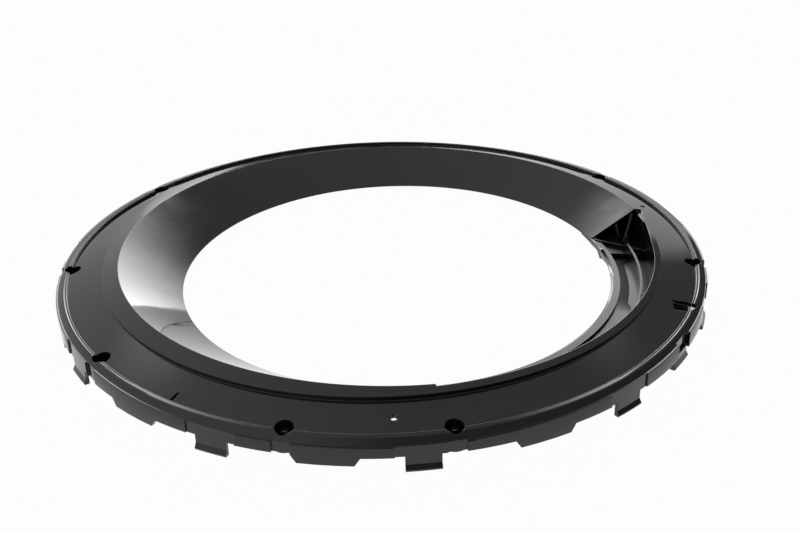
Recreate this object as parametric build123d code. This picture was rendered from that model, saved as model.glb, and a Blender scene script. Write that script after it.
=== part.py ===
from build123d import *
from math import cos, degrees, radians, sin, tan
import os

os.makedirs("parts", exist_ok=True)

# Washer door spacer ring, one moulding, millimetres, lying flange up on its clip feet.
# The flange axis is the Z axis. Azimuths are degrees from +X, turning towards +Y.

# Flange, lip and outer ridge
wall = 2.5
flange_r = 224.0
flange_z = 20.0
flange_slope = 20.6
panel_width = 24.5
panel_dip = 3.0
ridge_step = 1.1
ridge_ledge = 1.2
ridge_width = 3.2

# Skirt
border_width = 7.5
skirt_bottom_z = 9.7
skirt_wall = 2.3
skirt_top_drop = 0.5
skirt_top_rise = 2.5
edge_round = 1.6

# Funnel, a cone that leans a little away from the flange axis
opening_r = 154.5
opening_z = 6.2
opening_x = 10.4
opening_tilt = 0.57
opening_land = 1.6
rim_inset = 4.1
rim_height = 11.0
rim_x = 10.9
rim_y = 4.6

# Clip tabs, set in shallow recesses of the skirt
tab_azimuths = (14, 49.5, 80, 113, 154, 177, 213, 244.9, 275.9, 309.9, 341)
tab_width = 21.0
tab_wall = 2.1
tab_hook = 1.7
tab_hook_height = 4.2
recess_width = 32.5
recess_depth = 1.0

# Lobes hanging from the skirt between the tabs
lobe_azimuths = (25.5, 64, 96.5, 130, 165.5, 200.4, 230, 262.2, 294.1)
lobe_width = 41.0
lobe_height = 5.2
lobe_end_run = 4.0

# Screw bosses, each a deep recess with a screw hole in its floor
boss_azimuths = (35.5, 146, 185, 218.6, 255.9, 280.7, 352)
boss_inset = 1.6
boss_bore_r = 5.7
boss_wall = 1.8
boss_floor_z = 11.5
boss_floor = 2.5
screw_hole_r = 2.5
notch_width = 11.0

# Handle pocket, open to the funnel through a window
window_from = 279.5
window_to = 374.8
window_inset = 4.5
flare_from = 352.0
flare_out = 8.0
flare_in = 15.5
curb_height = 1.7
pocket_half = 123.0
pocket_inset = 0.5
pocket_floor = 2.2
rib_inset = 13.2
rib_wall = 1.8
rib_height = 5.8
end_wall_height = 2.4
end_rib_turn = 8.0
drain_from = 355.0
drain_to = 368.0
drain_in = 2.0
drain_width = 2.4

# Clear gap in the skirt beside the handle, with a short clip and a locating peg
gap_from = 323.5
gap_to = 328.2
gap_depth = 2.6
clip_azimuth = 325.0
clip_lift = 4.0
peg_azimuth = 329.3
peg_inset = 3.0
peg_r = 3.0
peg_drop = 1.7

# Small openings in the flange
slot_inset = 32.7
slot_y = -93.4
slot_length = 12.0
slot_width = 11.4
slot_point = 4.6
pin_hole_azimuth = 272.0
pin_hole_inset = 12.1
pin_hole_r = 2.3
vent_azimuth = 16.9
vent_inset = 10.8
vent_r = 2.0
slit_azimuth = 236.7
slit_inset = 4.0
slit_length = 7.2
slit_width = 2.0

# Values worked out from the sizes above
flange_k = tan(radians(flange_slope))
drop = wall / cos(radians(flange_slope))
lip_r = flange_r - panel_width
ridge_top_r = flange_r + ridge_width
ridge_z1 = flange_z + ridge_step
ridge_z2 = ridge_z1 + ridge_step
skirt_r = flange_r + border_width
skirt_in = skirt_r - skirt_wall
skirt_top_z = flange_z - skirt_top_drop
rim_r = lip_r - rim_inset
rim_z = flange_z + rim_height
cone_k = (rim_z - opening_z) / (rim_r - opening_r)
funnel_wall_r = wall * (1 + cone_k**2) ** 0.5 / cone_k
opening_up = (0, -tan(radians(opening_tilt)), 1)
opening_plane = Plane((opening_x, 0, opening_z), x_dir=(1, 0, 0), z_dir=opening_up)
tab_r = skirt_r - recess_depth
boss_at = flange_r - boss_inset
window_mid = (window_from + window_to) / 2
window_lip_r = lip_r - window_inset
curb_z = opening_z + curb_height
pocket_back_r = lip_r - pocket_inset
rib_r = lip_r - rib_inset
top = flange_z + 40
big = skirt_r + 68.5


def flange_top(r):
    return flange_z + flange_k * (flange_r - r)


def spun(points, start=0.0, turn=360.0):
    profile = make_face(Polyline(*[(r, 0, z) for r, z in points], close=True))
    return Rot(0, 0, start) * revolve(profile, Axis.Z, turn)


def disc(r, z0, z1, x=0.0):
    return Pos(x, 0, z0) * Cylinder(r, z1 - z0, align=(Align.CENTER, Align.CENTER, Align.MIN))


def prism(points, z0, z1):
    return Pos(0, 0, z0) * extrude(make_face(Polyline(*points, close=True)), z1 - z0)


def polar(r, a):
    return (r * cos(radians(a)), r * sin(radians(a)))


def sector(a0, a1, z0, z1):
    corners = [polar(big, a0 + (a1 - a0) * i / 4) for i in range(5)]
    return prism([(0, 0)] + corners, z0, z1)


def block(x0, x1, y0, y1, z0, z1, a=0.0):
    corner = (Align.MIN, Align.MIN, Align.MIN)
    return Rot(0, 0, a) * Pos(x0, y0, z0) * Box(x1 - x0, y1 - y0, z1 - z0, align=corner)


# The cone of the funnel, from the tilted opening up past the flange
def funnel(grow):
    up = 1.4
    high_x = opening_x + up * (rim_x - opening_x)
    high_z = opening_z + up * (rim_z - opening_z)
    high_r = opening_r + up * (rim_r - opening_r)
    high = Plane((high_x, up * rim_y, high_z))
    return loft([opening_plane * Circle(opening_r + grow), high * Circle(high_r + grow)], ruled=True)


# A ring of the flange's dipped panel, a share of the way in from the flange edge to the lip
def panel_ring(share):
    r = flange_r - share * panel_width
    tilt = share * panel_dip / r
    return Plane((0, 0, flange_top(r) - 0.05), x_dir=(1, 0, 0), z_dir=(0, -tilt, 1)) * Circle(r)


# All that lies under the flange: a cone whose panel dips below the lip on the near side
def mound(step_r):
    in_r = lip_r - panel_width
    in_z = flange_top(in_r)
    cone = spun([(0, 0), (flange_r, 0), (flange_r, flange_z), (in_r, in_z), (0, in_z)])
    dipped = loft([panel_ring(-0.3), panel_ring(1.4)], ruled=True)
    around = disc(flange_r + 1, flange_z - 0.5, top) - disc(step_r, 0, top + 1)
    return cone - (around - dipped)


# A level or tilted ring, higher on the far side by its rise
def tilted_ring(r, z, rise):
    return Plane((0, 0, z), x_dir=(1, 0, 0), z_dir=(0, -rise / r, 1)) * Circle(r)


# The band between ridge and skirt with a rounded edge, steep near and nearly level far
def band(low):
    head = tilted_ring(ridge_top_r, ridge_z2 - low, 0)
    rings = [head]
    for inset, fall in ((1.0, 0.0), (0.3, 0.3), (-0.4, 2.0), (-1.2, 12.0)):
        r = skirt_r - inset * edge_round
        rings.append(tilted_ring(r, skirt_top_z - low - fall * edge_round, skirt_top_rise))
    return loft(rings[::-1], ruled=True)


outer_mound = mound(lip_r)
inner_mound = Pos(0, 0, -drop) * mound(lip_r - wall)

# Ridge of two small steps, then the band and the skirt
ledge_r = flange_r + ridge_ledge
edge = [(flange_r - 2, skirt_bottom_z), (flange_r - 2, flange_z - 0.1), (flange_r, flange_z - 0.1)]
edge += [(flange_r, ridge_z1), (ledge_r, ridge_z1 + 0.15), (ledge_r + 0.6, ridge_z2)]
edge += [(skirt_r, ridge_z2), (skirt_r, skirt_bottom_z)]
over_band = disc(big, skirt_bottom_z + 2, top) - disc(ridge_top_r, 0, top + 1) - band(0)
border = spun(edge) - over_band
hollow = (disc(skirt_in, -1, top) & band(1.5 * skirt_wall)) - disc(flange_r - 0.5, -2, top)
body = outer_mound + border
ring = body - inner_mound - hollow

# Funnel wall, joined to the flange along the rounded rim
void = funnel(0)
funnel_wall = (funnel(funnel_wall_r) - void) & outer_mound
window = sector(window_from, window_to, curb_z, top)
ring = ring - (void - window) + (funnel_wall - window)
ring -= extrude(opening_plane * Circle(opening_r + opening_land), 5, both=True)

# Lip over the window, which flares out towards the far end
lip_cut = disc(window_lip_r, curb_z, top) & window
flare_in_r = opening_r + flare_in
flare = [polar(window_lip_r, flare_from), polar(lip_r + flare_out, window_to)]
flare += [polar(flare_in_r, window_to), polar(flare_in_r, flare_from)]
ring -= lip_cut
ring -= prism(flare, flange_z - 5, top)

# Pocket behind the window: floor, back wall, end walls and a curved rib
floor_z = opening_z - pocket_floor
end_wall_z = opening_z + end_wall_height
rib_top_z = opening_z + rib_height
back_out = pocket_back_r + rib_wall
reach_in = opening_r - 54.5
reach_out = skirt_r + 28.5
reach = block(reach_in, reach_out, -pocket_half, pocket_half, 0, top, window_mid)
inside = disc(opening_r + drain_in, -1, top, opening_x)
curb = disc(opening_r + funnel_wall_r - 0.8, -1, top, opening_x)
rib = disc(rib_r + rib_wall, floor_z, top) - disc(rib_r, 0, top + 1)
pocket = disc(back_out, floor_z, opening_z) - inside
pocket += disc(back_out, floor_z, top) - disc(pocket_back_r, 0, top + 1)
pocket += rib & disc(big, 0, rib_top_z)
pocket = pocket & reach
for side in (-pocket_half, pocket_half):
    y0 = side - rib_wall / 2
    end = block(reach_in, reach_out, y0, y0 + rib_wall, floor_z, end_wall_z, window_mid)
    pocket += end & (disc(back_out, 0, top) - curb)
beyond = sector(window_to - end_rib_turn, window_to + 1, 0, top) - reach
pocket += (rib & beyond) - funnel(funnel_wall_r - 1)
pocket = pocket & (Pos(0, 0, -wall / 2) * mound(lip_r - wall / 2))
ring += pocket

# Drain slot in the curb
drain = disc(opening_r + drain_in + drain_width, 0, curb_z + 2, opening_x) - inside
ring -= drain & sector(drain_from, drain_to, -1, top)

# Lobes under the skirt, with sloped ends
lobe_top = skirt_bottom_z + 1
lobe_low = skirt_bottom_z - lobe_height
half = lobe_width / 2
foot = half - lobe_end_run
lobe_face = [(-half, lobe_top), (half, lobe_top), (foot, lobe_low), (-foot, lobe_low)]
radial = Plane((skirt_r - 12, 0, 0), x_dir=(0, 1, 0), z_dir=(1, 0, 0))
lobe = extrude(radial * make_face(Polyline(*lobe_face, close=True)), 16)
skirt_tube = disc(skirt_r, 0, lobe_top) - disc(skirt_in, -1, top)
for a in lobe_azimuths:
    ring += (Rot(0, 0, a) * lobe) & skirt_tube

# Recesses in the skirt, each with a hooked clip tab
recess_turn = degrees(recess_width / skirt_r)
tab_turn = degrees(tab_width / skirt_r)


def cut_back(r):
    return [(r, -1), (skirt_r + 5, -1), (skirt_r + 5, top), (r, top)]


def clip(low):
    high = skirt_bottom_z + 2
    foot = [(tab_r - tab_wall, low), (tab_r + tab_hook * 0.7, low), (tab_r + tab_hook, low + 1.2)]
    return foot + [(tab_r, low + tab_hook_height), (tab_r, high), (tab_r - tab_wall, high)]


for a in tab_azimuths:
    ring -= spun(cut_back(tab_r), a - recess_turn / 2, recess_turn)
    ring += spun(clip(0), a - tab_turn / 2, tab_turn)

# Gap in the skirt beside the handle
gap_r = skirt_r - gap_depth
ring -= spun(cut_back(gap_r), gap_from, gap_to - gap_from)
backing = disc(gap_r, skirt_bottom_z, skirt_top_z) - disc(gap_r - skirt_wall, 0, top)
ring += backing & sector(gap_from - 1, gap_to + 1, 0, top) & body
ring += spun(clip(clip_lift), clip_azimuth - tab_turn / 2, tab_turn)
peg = Pos(skirt_r - peg_inset, 0, 0) * disc(peg_r, skirt_bottom_z - peg_drop, flange_z + 1)
peg = Rot(0, 0, peg_azimuth) * peg
ring += peg & (body + disc(big, 0, skirt_bottom_z))

# Screw bosses: the skirt is notched round each, then the recess and its screw hole are cut
boss_r = boss_bore_r + boss_wall
boss_low = boss_floor_z - boss_floor
notch = block(boss_at + boss_r, skirt_r + 5, -notch_width / 2, notch_width / 2, -1, top)
boss_space = body + disc(flange_r + 10, 0, skirt_bottom_z + 1)
for a in boss_azimuths:
    place = Rot(0, 0, a) * Pos(boss_at, 0, 0)
    ring -= Rot(0, 0, a) * notch
    ring += place * disc(boss_r, boss_low, flange_z + 8) & boss_space
    ring -= place * disc(boss_bore_r, boss_floor_z, top)
    ring -= place * disc(screw_hole_r, -1, top)

# Small openings in the flange
hole_z = flange_z - 5
slot_half = slot_width / 2
slot = [(0, -slot_half), (slot_length, -slot_half), (slot_length + slot_point, 0)]
slot += [(slot_length, slot_half), (0, slot_half)]
ring -= Pos(flange_r - slot_inset, slot_y, 0) * prism(slot, flange_z - 6, top)
for a, inset, r in ((pin_hole_azimuth, pin_hole_inset, pin_hole_r), (vent_azimuth, vent_inset, vent_r)):
    ring -= Rot(0, 0, a) * Pos(flange_r - inset, 0, 0) * disc(r, hole_z, top)
slit_x = flange_r - slit_inset - slit_length / 2
slit = block(slit_x, slit_x + slit_length, -slit_width / 2, slit_width / 2, hole_z, top)
ring -= Rot(0, 0, slit_azimuth) * slit

export_step(ring, "parts/spacer_ring.step")
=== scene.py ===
import math

import bmesh
import bpy
from mathutils import Matrix, Vector


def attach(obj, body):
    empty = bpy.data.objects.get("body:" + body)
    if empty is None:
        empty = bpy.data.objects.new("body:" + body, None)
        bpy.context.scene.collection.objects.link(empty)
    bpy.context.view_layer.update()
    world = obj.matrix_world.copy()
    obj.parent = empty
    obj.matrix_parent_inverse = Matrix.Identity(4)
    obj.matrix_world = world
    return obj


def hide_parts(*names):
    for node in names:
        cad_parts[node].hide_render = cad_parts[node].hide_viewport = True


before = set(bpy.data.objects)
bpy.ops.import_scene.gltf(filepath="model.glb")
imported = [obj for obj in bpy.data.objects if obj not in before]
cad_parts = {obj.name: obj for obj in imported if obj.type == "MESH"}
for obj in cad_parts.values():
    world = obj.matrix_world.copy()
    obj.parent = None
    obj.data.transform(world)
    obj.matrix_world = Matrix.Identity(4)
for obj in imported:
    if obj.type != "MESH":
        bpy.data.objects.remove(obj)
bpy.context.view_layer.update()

# The spacer ring lies between a washer's door frame and its glass, held by clip tabs and screws. It is one
# injection moulding in black ABS. The polished side of the tool gives it a mirror skin with a very slight
# orange peel, the outer edges are a little rounded, and handling leaves faint smudges in the gloss.
mm = 0.001
edge_radius_mm = 0.45
edge_samples = 8
orange_peel_mm = 7.0
orange_peel_depth_mm = 0.4
orange_peel_strength = 0.03
smudge_mm = 55.0
smudge_range = (0.35, 0.7)
gloss_roughness = (0.05, 0.12)
abs_ior = 1.53


def linear(hex_colour):
    channels = [int(hex_colour[i:i + 2], 16) / 255 for i in (1, 3, 5)]
    return [c / 12.92 if c <= 0.04045 else ((c + 0.055) / 1.055) ** 2.4 for c in channels] + [1.0]


def empty_material(name):
    material = bpy.data.materials.new(name)
    material.use_nodes = True
    material.node_tree.nodes.clear()
    return material


# A link starts at a socket, or at the first output of a node. The names _0, _1 and _2 count the inputs.
def add_node(owner, kind, settings=None, **links):
    node = owner.node_tree.nodes.new(kind)
    for name, value in (settings or {}).items():
        if isinstance(name, int) or name in node.inputs:
            node.inputs[name].default_value = value
        else:
            setattr(node, name, value)
    for name, source in links.items():
        output = source.outputs[0] if isinstance(source, bpy.types.Node) else source
        spot = int(name[1:]) if name[1:].isdigit() else name.replace("_", " ")
        owner.node_tree.links.new(output, node.inputs[spot])
    return node


black_abs = linear("#121212")
gloss_abs = empty_material("moulded gloss black ABS")
place = add_node(gloss_abs, "ShaderNodeTexCoord").outputs["Object"]
peel_noise = {"Scale": 1 / (orange_peel_mm * mm), "Detail": 1.0}
peel = add_node(gloss_abs, "ShaderNodeTexNoise", peel_noise, Vector=place)
smudge_noise = {"Scale": 1 / (smudge_mm * mm), "Detail": 4.0}
smudge = add_node(gloss_abs, "ShaderNodeTexNoise", smudge_noise, Vector=place)
haze = {"From Min": smudge_range[0], "From Max": smudge_range[1]}
haze |= {"To Min": gloss_roughness[0], "To Max": gloss_roughness[1]}
gloss = add_node(gloss_abs, "ShaderNodeMapRange", haze, Value=smudge)
rounded = add_node(gloss_abs, "ShaderNodeBevel", {"samples": edge_samples, "Radius": edge_radius_mm * mm})
peel_height = {"Strength": orange_peel_strength, "Distance": orange_peel_depth_mm * mm}
bump = add_node(gloss_abs, "ShaderNodeBump", peel_height, Height=peel, Normal=rounded)
plastic = {"Base Color": black_abs, "IOR": abs_ior}
skin = add_node(gloss_abs, "ShaderNodeBsdfPrincipled", plastic, Roughness=gloss, Normal=bump)
add_node(gloss_abs, "ShaderNodeOutputMaterial", Surface=skin)

# Inside the handle pocket the tool is left with a fine spark texture, so the same plastic is dull there. The
# grain is drawn coarser than the real one so that it shows, and the lower IOR stands for the shine that the
# texture breaks up. This finish is the second material of the moulding.
spark_grain_mm = 0.6
spark_depth_mm = 0.2
spark_strength = 0.1
spark_roughness = 0.3
spark_ior = 1.36
spark_finish = 1
dull_abs = empty_material("spark textured black ABS")
place = add_node(dull_abs, "ShaderNodeTexCoord").outputs["Object"]
grain_noise = {"Scale": 1 / (spark_grain_mm * mm), "Detail": 2.0}
grain = add_node(dull_abs, "ShaderNodeTexNoise", grain_noise, Vector=place)
grain_height = {"Strength": spark_strength, "Distance": spark_depth_mm * mm}
bump = add_node(dull_abs, "ShaderNodeBump", grain_height, Height=grain)
plastic = {"Base Color": black_abs, "IOR": spark_ior, "Roughness": spark_roughness}
skin = add_node(dull_abs, "ShaderNodeBsdfPrincipled", plastic, Normal=bump)
add_node(dull_abs, "ShaderNodeOutputMaterial", Surface=skin)

# The moulding starts as a copy of the CAD model with its loose triangles joined, so that neighbouring faces
# move together. From here on, sizes are in millimetres and angles in degrees: r is a distance from the
# ring's axis, z a height, and an azimuth is counted from the right towards the far side.
merge_gap = 0.01
shape = bmesh.new()
shape.from_mesh(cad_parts["spacer_ring"].data)
bmesh.ops.remove_doubles(shape, verts=shape.verts, dist=merge_gap * mm)

# The door face is gently curved, so the flange and its border are bowed: highest at the left and right,
# lower at the far side and near the hand, where the ridge runs out into a plain slope. Lifts and slopes are
# given at the left and right, at the near side and at the far side.
lip_r = 199.5
ridge_r = 224.0
ridge_top_r = 227.2
skirt_r = 231.5
ridge_foot_z = 20.0
ridge_top_z = 22.2
ridge_steps = 2
skirt_foot_z = 9.7
bow_full_z = 17.0
foot_lift = (2.6, 0.8, 0.5)
edge_lift = (4.1, 0.3, -1.6)
ridge_lift = (1.8, -1.4, -0.3)
ridge_slope = (0.28, 0.14, 0.3)
far_lip_dip = 1.6
far_lip_from_r = 190.0
far_lip_from_z = 22.0
same_r = 0.1


def bow(lifts, across):
    side, near, far = lifts
    return side + ((near if across < 0 else far) - side) * across ** 2


# Across is 0 at the left and right, -1 at the near side and 1 at the far side.
for vert in shape.verts:
    r = vert.co.xy.length / mm
    z = vert.co.z / mm
    across = vert.co.y / mm / r
    # The lip dips at the far side, and the flange there with it.
    if r > far_lip_from_r and z > far_lip_from_z and across > 0:
        dip_share = min(max((ridge_r - r) / (ridge_r - lip_r), 0), 1)
        vert.co.z -= far_lip_dip * across ** 2 * dip_share * mm
    if r < lip_r or z < skirt_foot_z:
        continue
    foot = bow(foot_lift, across)
    crest = bow(ridge_lift, across)
    border = bow(edge_lift, across)
    # The flange rises evenly from the lip to the foot of the ridge.
    if r < ridge_r - same_r or z < ridge_foot_z + same_r and r < ridge_top_r:
        lift = foot * min((r - lip_r) / (ridge_r - lip_r), 1)
    # The ridge keeps its steps between that foot and its own crest.
    elif r < ridge_top_r - same_r:
        crest_z = ridge_top_z + crest + (ridge_top_r - r) * bow(ridge_slope, across)
        step_share = round(ridge_steps * (z - ridge_foot_z) / (ridge_top_z - ridge_foot_z)) / ridge_steps
        ridge_height = ridge_top_z + crest - ridge_foot_z - foot
        lift = crest_z - ridge_height * (1 - step_share) - z
    # The border runs from the crest to the edge of the skirt.
    else:
        lift = crest + (border - crest) * min((r - ridge_top_r) / (skirt_r - ridge_top_r), 1)
    vert.co.z += lift * min((z - skirt_foot_z) / (bow_full_z - skirt_foot_z), 1) * mm

# The floor of the handle pocket falls away along its rib towards the far end, so that it mirrors the dark
# inside there. The fall begins further along at the curb than at the rib.
pocket_floor_r = (166.0, 200.0)
pocket_floor_z = (3.9, 6.4)
rib_side_r = 174.0
fall_depth = 3.8
fall_at_rib = (-23.0, -18.0)
fall_at_curb = (0.0, 7.0)
fall_end = 9.5
for vert in shape.verts:
    azimuth = math.degrees(math.atan2(vert.co.y, vert.co.x))
    r = vert.co.xy.length / mm
    z = vert.co.z / mm
    in_floor = pocket_floor_z[0] < z < pocket_floor_z[1] and pocket_floor_r[0] < r < pocket_floor_r[1]
    if in_floor and fall_at_rib[0] < azimuth < fall_end:
        start, end = fall_at_rib if r > rib_side_r else fall_at_curb
        vert.co.z -= fall_depth * min(max((azimuth - start) / (end - start), 0), 1) * mm

# The rib's short post at the far end of the pocket gives way to a gusset, which the next section makes. So
# the post's top is let down into the floor of the bay there.
post_r = (184.0, 191.0)
post_azimuth = (9.6, 14.75)
post_z = (12.3, 20.0)
bay_floor_z = 5.0
for vert in shape.verts:
    azimuth = math.degrees(math.atan2(vert.co.y, vert.co.x))
    spot = (vert.co.xy.length / mm, azimuth, vert.co.z / mm)
    if all(low < value < high for value, (low, high) in zip(spot, (post_r, post_azimuth, post_z))):
        vert.co.z = bay_floor_z * mm

# Both ends of the handle pocket are closed with a floor, a back wall and an end wall under the funnel. At
# the far end a gusset climbs from the cross wall to the top corner. Each is a flat plate with its corners
# given as radius, azimuth and height, and a thickness.
bay_plates = (
    (((168, 7.5, 4), (201, 4.5, 4), (209, 21, 4), (168, 21, 4)), 2.0),
    (((200.5, 4.5, 4), (208.5, 21, 4), (208.5, 21, 24.5), (200.5, 4.5, 26.5)), 2.0),
    (((168, 20, 4), (209, 20, 4), (209, 20, 24.5), (203, 20, 26.5), (168, 20, 8)), 2.0),
    (((187, 9, 5), (187, 9, 11.8), (199, 13.8, 26), (199, 13.8, 5)), 1.6),
    (((164, -83, 4), (200, -83, 4), (200, -70, 4), (186, -71, 4), (164, -76, 4)), 2.0),
    (((199.5, -83, 4), (199.5, -67, 4), (199.5, -67, 25), (199.5, -83, 25)), 2.0),
    (((161, -82, 4), (200, -82, 4), (200, -82, 25), (194, -82, 28), (164, -82, 8.5)), 2.0),
)
for corners, thickness in bay_plates:
    outline = []
    for radius, azimuth, height in corners:
        turn = Matrix.Rotation(math.radians(azimuth), 3, "Z")
        outline.append(shape.verts.new(turn @ Vector((radius, 0, height)) * mm))
    plate = shape.faces.new(outline)
    plate.normal_update()
    push = plate.normal * thickness * mm
    grown = bmesh.ops.extrude_face_region(shape, geom=[plate], use_keep_orig=True)["geom"]
    moved = [part for part in grown if isinstance(part, bmesh.types.BMVert)]
    bmesh.ops.translate(shape, verts=moved, vec=push)
    walls = list({face for vert in outline + moved for face in vert.link_faces})
    bmesh.ops.recalc_face_normals(shape, faces=walls)
    for face in walls:
        face.material_index = spark_finish

# The gloss runs smoothly round the curves. Edges above the crease angle stay hard, and so does the foot of
# the ridge, which is a crisp line all round. What lies in the handle pocket, behind its curb and under the
# lip, has the spark texture.
crease_angle = math.radians(24)
pocket_in_r = 158.0
pocket_out_r = 201.0
pocket_azimuth = (-81.0, 14.0)
pocket_top_z = 25.0
opening_middle = Vector((10.4, 0)) * mm
for face in shape.faces:
    face.smooth = True
    middle = face.calc_center_median()
    azimuth = math.degrees(math.atan2(middle.y, middle.x))
    behind_curb = (middle.xy - opening_middle).length > pocket_in_r * mm
    under_lip = middle.xy.length < pocket_out_r * mm and middle.z < pocket_top_z * mm
    if pocket_azimuth[0] < azimuth < pocket_azimuth[1] and behind_curb and under_lip:
        face.material_index = spark_finish
for edge in shape.edges:
    on_ridge_foot = all(abs(vert.co.xy.length - ridge_r * mm) < same_r * mm for vert in edge.verts)
    soft = len(edge.link_faces) == 2 and edge.calc_face_angle() < crease_angle
    edge.smooth = soft and not on_ridge_foot
mesh = bpy.data.meshes.new("moulded_ring")
shape.to_mesh(mesh)
shape.free()
mesh.materials.append(gloss_abs)
mesh.materials.append(dull_abs)
ring = bpy.data.objects.new("moulded_ring", mesh)
bpy.context.scene.collection.objects.link(ring)
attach(ring, "root")
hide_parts("spacer_ring")

# The floor is a broad sheet of matt white paper. It is white to the eye and in reflections, and keeps a part
# of its own shading for the ring's soft shadow. Where the ring covers it, in a band drawn by radius that
# reaches further out on the handle's side, the glow is taken away: a painted shade over the paper's own
# shadow there.
# Its reach is in metres.
floor_reach = 30.0
paper_glow = 0.975
shade_from = (183.0, 188.0)
shade_to = (206.0, 212.0)
handle_shade = 14.0
handle_side = (170.0, 195.0)
white_paper = empty_material("matt white paper")
path = add_node(white_paper, "ShaderNodeLightPath").outputs
seen = path["Is Camera Ray"]
for ray in ("Is Glossy Ray", "Is Transmission Ray"):
    seen = add_node(white_paper, "ShaderNodeMath", {"operation": "MAXIMUM"}, _0=seen, _1=path[ray])
on_paper = add_node(white_paper, "ShaderNodeTexCoord").outputs["Object"]
radius = add_node(white_paper, "ShaderNodeVectorMath", {"operation": "LENGTH"}, _0=on_paper).outputs["Value"]
right = add_node(white_paper, "ShaderNodeSeparateXYZ", Vector=on_paper).outputs["X"]
handle_fade = {"From Min": handle_side[0] * mm, "From Max": handle_side[1] * mm, "To Max": handle_shade * mm}
wider = add_node(white_paper, "ShaderNodeMapRange", handle_fade, Value=right)
radius = add_node(white_paper, "ShaderNodeMath", {"operation": "SUBTRACT"}, _0=radius, _1=wider)
inner_fade = {"From Min": shade_from[0] * mm, "From Max": shade_from[1] * mm, "To Min": 1.0, "To Max": 0.0}
inner = add_node(white_paper, "ShaderNodeMapRange", inner_fade, Value=radius)
outer_fade = {"From Min": shade_to[0] * mm, "From Max": shade_to[1] * mm, "To Min": 0.0, "To Max": 1.0}
outer = add_node(white_paper, "ShaderNodeMapRange", outer_fade, Value=radius)
outside_painted_shade = add_node(white_paper, "ShaderNodeMath", {"operation": "MAXIMUM"}, _0=inner, _1=outer)
share = add_node(white_paper, "ShaderNodeMath", {"operation": "MULTIPLY"}, _0=seen, _1=outside_painted_shade)
share = add_node(white_paper, "ShaderNodeMath", {"operation": "MULTIPLY", 1: paper_glow}, _0=share)
# The matt part is painted grey, darker than white paper, so that the painted shade under the ring is deeper.
matt = add_node(white_paper, "ShaderNodeBsdfDiffuse", {"Color": linear("#70706f")})
glow = add_node(white_paper, "ShaderNodeEmission", {"Color": linear("#ffffff")})
paper = add_node(white_paper, "ShaderNodeMixShader", Fac=share, _1=matt, _2=glow)
add_node(white_paper, "ShaderNodeOutputMaterial", Surface=paper)
sheet = bmesh.new()
bmesh.ops.create_grid(sheet, x_segments=1, y_segments=1, size=floor_reach)
floor_mesh = bpy.data.meshes.new("paper_floor")
sheet.to_mesh(floor_mesh)
sheet.free()
floor_mesh.materials.append(white_paper)
floor = bpy.data.objects.new("paper_floor", floor_mesh)
bpy.context.scene.collection.objects.link(floor)

# The studio is a white tent that is brighter on the left, and its right wall darkens towards the table. A
# broad soft lamp behind the back wall is wider at its top than at its foot. The back wall is also lighter
# low down from its right corner on. Each pair of angles runs from the dark end of an edge to the bright end.
tent_left = 0.95
tent_right = (0.17, 0.72)
right_heights = (10, 75)
left_side = (0.05, -0.45)
back_corner = (61.3, 63.5)
back_end = (100, 80)
back_top = (30, 19)
back_level = 0.95
lamp_level = 5.4
lamp_right = (78, 89)
lamp_lean = 0.5
lamp_left = (106, 95)
lamp_top = (48, 30)
tent = bpy.data.worlds.new("white tent")
bpy.context.scene.world = tent
tent.use_nodes = True
tent.node_tree.nodes.clear()
direction = add_node(tent, "ShaderNodeTexCoord").outputs["Generated"]
axes = add_node(tent, "ShaderNodeSeparateXYZ", Vector=direction).outputs
azimuth = add_node(tent, "ShaderNodeMath", {"operation": "ARCTAN2"}, _0=axes["Y"], _1=axes["X"])
height = add_node(tent, "ShaderNodeMath", {"operation": "ARCSINE"}, _0=axes["Z"])
right_lean, left_lean = [
    add_node(tent, "ShaderNodeMath", {"operation": "MULTIPLY_ADD", 1: lean}, _0=height, _2=azimuth)
    for lean in (lamp_lean, -lamp_lean)
]
low, high = [math.radians(angle) for angle in right_heights]
rise = {"From Min": low, "From Max": high, "To Min": tent_right[0], "To Max": tent_right[1]}
right_wall = add_node(tent, "ShaderNodeMapRange", rise, Value=height)
side_fade = {"From Min": left_side[0], "From Max": left_side[1]}
leftward = add_node(tent, "ShaderNodeMapRange", side_fade, Value=axes["X"])
level = add_node(tent, "ShaderNodeMix", {"data_type": "FLOAT", 3: tent_left}, _0=leftward, _2=right_wall)
bright_patches = (
    (back_level, ((azimuth, back_corner), (azimuth, back_end), (height, back_top))),
    (lamp_level, ((right_lean, lamp_right), (left_lean, lamp_left), (height, lamp_top))),
)
for brightness, edges in bright_patches:
    fades = []
    for angle, (dark, bright) in edges:
        fade = {"From Min": math.radians(dark), "From Max": math.radians(bright)}
        fade["interpolation_type"] = "SMOOTHSTEP"
        fades.append(add_node(tent, "ShaderNodeMapRange", fade, Value=angle))
    patch = fades[0]
    for fade in fades[1:]:
        patch = add_node(tent, "ShaderNodeMath", {"operation": "MULTIPLY"}, _0=patch, _1=fade)
    added = {"operation": "MULTIPLY_ADD", 1: brightness}
    level = add_node(tent, "ShaderNodeMath", added, _0=patch, _2=level)
light = add_node(tent, "ShaderNodeBackground", Strength=level)
add_node(tent, "ShaderNodeOutputWorld", Surface=light)

# The camera stands in front of the ring and looks down on it, as someone at a table does. It has a lens of
# normal length and is turned a little about its own axis, as a camera in the hand is.
camera_place = Vector((13.0, -722.8, 381.3)) * mm
camera_down = math.radians(27.207)
camera_roll = math.radians(1.409)
lens_mm = 49.5
sensor_mm = 36.0
camera_data = bpy.data.cameras.new("camera")
camera_data.lens = lens_mm
camera_data.sensor_width = sensor_mm
camera = bpy.data.objects.new("camera", camera_data)
look = Matrix.Rotation(math.pi / 2 - camera_down, 4, "X") @ Matrix.Rotation(-camera_roll, 4, "Z")
camera.matrix_world = Matrix.Translation(camera_place) @ look
bpy.context.scene.collection.objects.link(camera)
bpy.context.scene.camera = camera
bpy.context.scene.view_settings.view_transform = "Standard"
